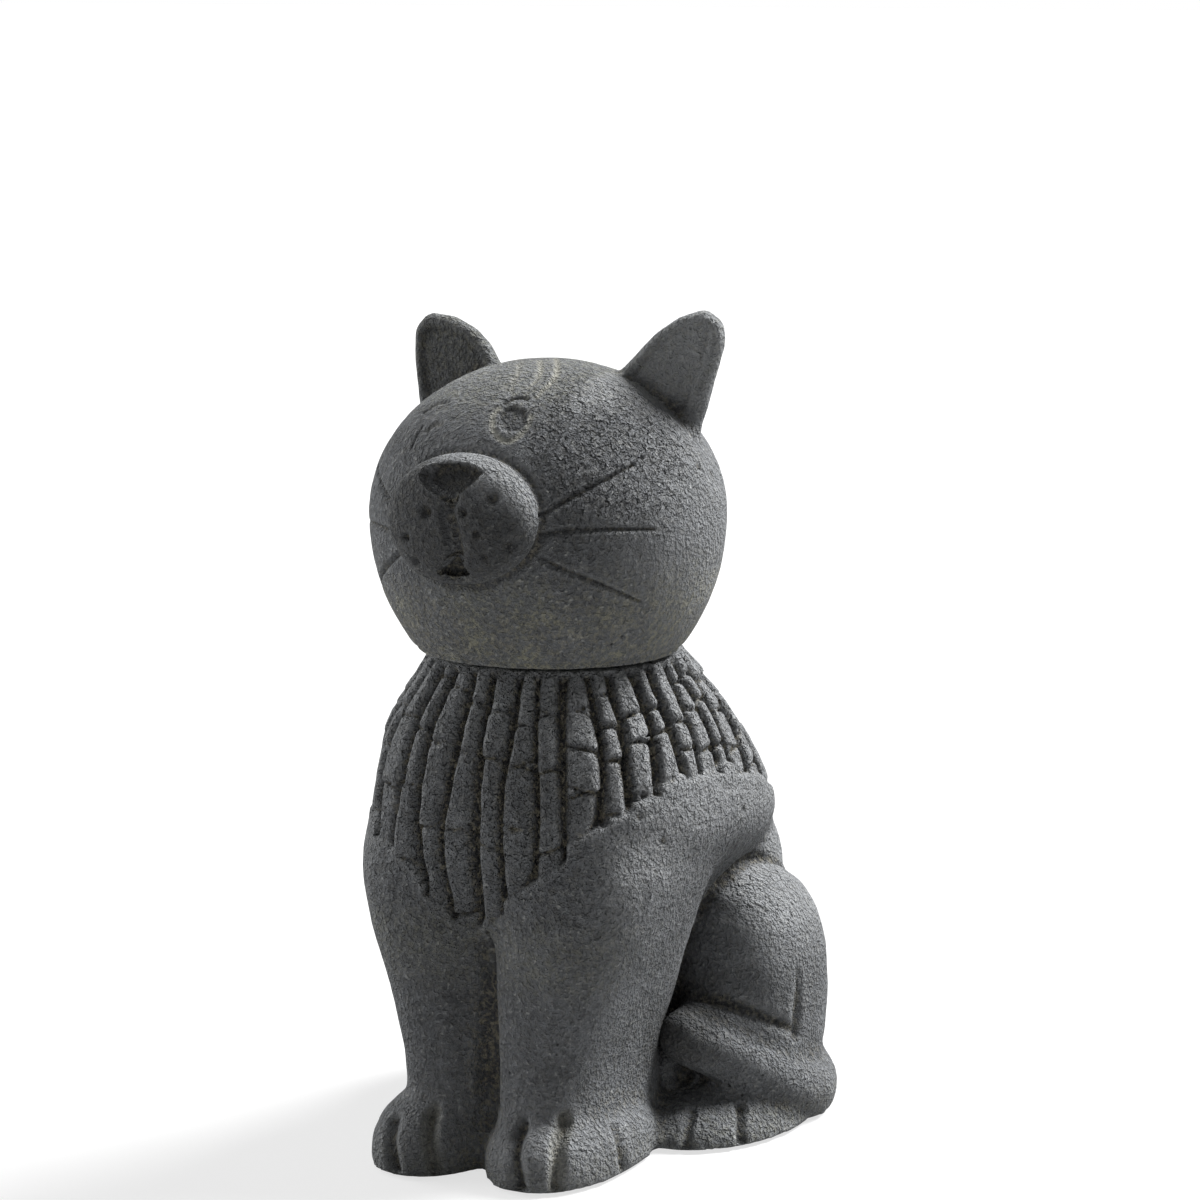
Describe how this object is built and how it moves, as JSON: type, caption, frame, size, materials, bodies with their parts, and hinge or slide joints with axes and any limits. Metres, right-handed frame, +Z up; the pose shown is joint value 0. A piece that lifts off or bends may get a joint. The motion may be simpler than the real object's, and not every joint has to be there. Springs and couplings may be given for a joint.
{
  "type": "cat statue",
  "caption": "Seated cat statue of dark cast stone with carved collar tufts, a tail round its left side, and a separate head that turns on a neck pin and lifts off.",
  "frame": {"origin": "on the ground under the middle of the statue's box", "axes": "+Z up, -Y the way the cat faces, +X to the cat's left"},
  "size_m": [0.2026, 0.2432, 0.3918],
  "materials": {
    "cast_stone": "matt, pitted, unglazed, dust in the grooves",
    "mortar": "rough",
    "steel": "drawn bar",
    "pad_rubber": "matt",
    "washer_rubber": "matt",
    "nylon": "natural nylon"
  },
  "bodies": {
    "base": {"body_casting": "cast_stone", "pin_mortar": "mortar", "neck_pin": "steel", "pad_front_left": "pad_rubber", "pad_front_right": "pad_rubber", "pad_rear_left": "pad_rubber", "pad_rear_right": "pad_rubber"},
    "slip_ring": {"neck_washer": "washer_rubber"},
    "head": {"head_casting": "cast_stone", "head_plug": "mortar", "pin_sleeve": "nylon"}
  },
  "joints": [
    {"name": "head_turn", "type": "hinge", "parent": "base", "child": "slip_ring", "pos_m": [-0.00325, -0.02171, 0.233], "axis": [0, 0, 1], "continuous": true},
    {"name": "head_lift", "type": "slide", "parent": "slip_ring", "child": "head", "axis": [0, 0, 1], "range_m": [0, 0.08]}
  ]
}
